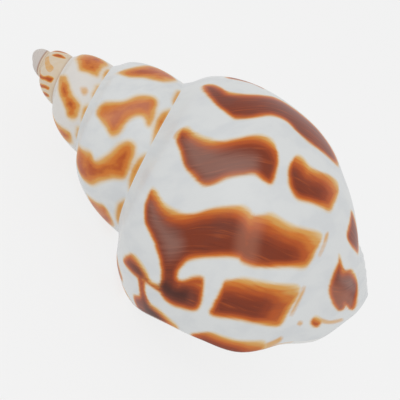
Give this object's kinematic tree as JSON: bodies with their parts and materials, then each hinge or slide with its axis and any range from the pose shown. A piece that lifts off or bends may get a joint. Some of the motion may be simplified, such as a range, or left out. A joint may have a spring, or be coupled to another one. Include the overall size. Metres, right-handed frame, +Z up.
{
  "type": "babylon shell",
  "caption": "Sea snail shell with a tall stepped spire, a swollen last whorl, a white ridged base and an open mouth, lying on its mouth side",
  "frame": {"origin": "Centre of the bounding box's bottom, on the surface that the shell lies on", "axes": "X runs along the shell's length, with the apex towards -X and the base of the shell towards +X. Z is up, away from the surface. The side in the picture looks towards -Y and up."},
  "size_m": [0.058, 0.0348, 0.0327],
  "materials": {
    "shell": "glossy"
  },
  "bodies": {
    "root": {"shell": "shell"}
  },
  "joints": []
}
